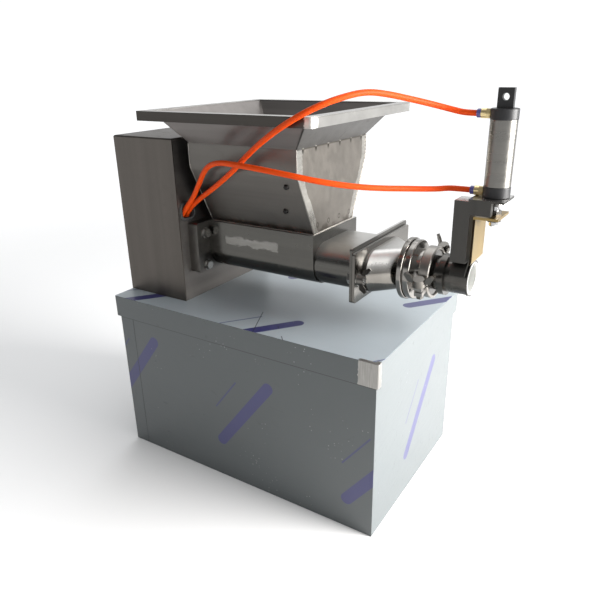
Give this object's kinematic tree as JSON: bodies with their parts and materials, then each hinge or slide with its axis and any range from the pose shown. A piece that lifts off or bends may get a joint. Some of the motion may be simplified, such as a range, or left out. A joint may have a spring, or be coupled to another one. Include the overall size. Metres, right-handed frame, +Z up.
{
  "type": "dough extruder and divider",
  "caption": "Bench dough divider: twin screws under a flared sheet hopper press dough through a clamped outlet tube, where an air cylinder drives a guillotine knife.",
  "frame": {"origin": "on the floor, under the middle of the base cabinet", "axes": "+X from the drive housing along the screws to the outlet, +Y away from the pictured front, +Z up"},
  "size_m": [0.64, 0.3468, 0.6469],
  "materials": {
    "film_clad_steel": "satin printed protective film",
    "stainless": "brushed",
    "polished_stainless": "machined, polished",
    "dark_bolt_steel": "blackened",
    "frame_steel": "primer grey",
    "cast_iron": "painted casting",
    "motor_paint": "enamel",
    "gear_steel": "hobbed, oiled",
    "cylinder_alloy": "drawn, bright",
    "black_alloy": "black anodised",
    "valve_alloy": "anodised",
    "knife_brass": "ground",
    "fitting_brass": "plated",
    "collar_plastic": "gloss blue",
    "hose_orange": "gloss, slightly clear",
    "black_rubber": "matt",
    "white_plastic": "food-grade white",
    "black_plastic": "matt",
    "grey_plastic": "matt",
    "green_plastic": "gloss",
    "red_plastic": "gloss"
  },
  "bodies": {
    "machine": {"adapter_neck": "polished_stainless", "adapter_ring": "polished_stainless", "air_fittings": "fitting_brass", "back_panel": "film_clad_steel", "base_frame": "frame_steel", "base_lid": "film_clad_steel", "bearing_block": "polished_stainless", "block_bolts": "stainless", "cable_gland": "grey_plastic", "clamp_bolts": "stainless", "clamp_lower_half": "stainless", "clamp_upper_half": "stainless", "control_plate": "stainless", "control_unit": "grey_plastic", "cutter_bracket": "stainless", "cylinder_barrel": "cylinder_alloy", "cylinder_bottom_cap": "black_alloy", "cylinder_fittings": "fitting_brass", "cylinder_top_cap": "black_alloy", "drive_belt": "black_rubber", "fitting_collars": "collar_plastic", "flange_bolts": "stainless", "flange_gasket": "black_rubber", "front_panel": "film_clad_steel", "hopper_body": "stainless", "hopper_bolts": "dark_bolt_steel", "hopper_funnel": "stainless", "hopper_rim": "stainless", "hose_grommet": "black_rubber", "housing_bulkhead": "stainless", "housing_shell": "stainless", "left_panel": "film_clad_steel", "lower_hose": "hose_orange", "motor_body": "motor_paint", "nose_nut": "stainless", "nozzle_cone": "polished_stainless", "outlet_sleeve": "white_plastic", "outlet_tube": "polished_stainless", "panel_screws": "stainless", "reducer_case": "cast_iron", "right_panel": "film_clad_steel", "screw_bearings": "gear_steel", "shaft_seals": "black_rubber", "solenoid_valve": "valve_alloy", "trough": "stainless", "upper_hose": "hose_orange", "wing_nuts": "stainless"},
    "motor_rotor": {"motor_pulley": "cast_iron"},
    "worm_input": {"reducer_pulley": "cast_iron"},
    "near_screw": {"screw_near": "polished_stainless", "timing_gear_near": "gear_steel"},
    "far_screw": {"screw_far": "polished_stainless", "timing_gear_far": "gear_steel"},
    "cutter": {"piston_rod": "polished_stainless", "rod_nuts": "stainless", "knife": "knife_brass"},
    "power_selector": {"power_switch": "black_plastic"},
    "speed_dial": {"speed_knob": "black_plastic"},
    "start_push": {"start_button": "green_plastic"},
    "stop_push": {"stop_button": "red_plastic"}
  },
  "joints": [
    {"name": "motor_spin", "type": "hinge", "parent": "machine", "child": "motor_rotor", "pos_m": [-0.186, 0.092, 0.077], "axis": [0, 1, 0], "continuous": true},
    {"name": "worm_spin", "type": "hinge", "parent": "machine", "child": "worm_input", "pos_m": [-0.186, 0.092, 0.435], "axis": [0, 1, 0], "continuous": true},
    {"name": "near_screw_spin", "type": "hinge", "parent": "machine", "child": "near_screw", "pos_m": [0, -0.036, 0.385], "axis": [1, 0, 0], "continuous": true},
    {"name": "far_screw_spin", "type": "hinge", "parent": "machine", "child": "far_screw", "pos_m": [0, 0.036, 0.385], "axis": [1, 0, 0], "continuous": true},
    {"name": "knife_slide", "type": "slide", "parent": "machine", "child": "cutter", "axis": [0, 0, -1], "range_m": [0, 0.058]},
    {"name": "power_turn", "type": "hinge", "parent": "machine", "child": "power_selector", "pos_m": [-0.265, -0.063, 0.505], "axis": [1, 0, 0], "range_deg": [0, 90]},
    {"name": "speed_turn", "type": "hinge", "parent": "machine", "child": "speed_dial", "pos_m": [-0.265, -0.021, 0.505], "axis": [1, 0, 0], "range_deg": [0, 270]},
    {"name": "start_press", "type": "slide", "parent": "machine", "child": "start_push", "axis": [1, 0, 0], "range_m": [0, 0.003], "stiffness_N_per_m": 400, "springref_m": -0.001},
    {"name": "stop_press", "type": "slide", "parent": "machine", "child": "stop_push", "axis": [1, 0, 0], "range_m": [0, 0.003], "stiffness_N_per_m": 400, "springref_m": -0.001}
  ],
  "couplings": [
    {"joint": "worm_spin", "follows": "motor_spin", "ratio": 0.5},
    {"joint": "near_screw_spin", "follows": "motor_spin", "ratio": -0.025},
    {"joint": "far_screw_spin", "follows": "motor_spin", "ratio": 0.025}
  ]
}
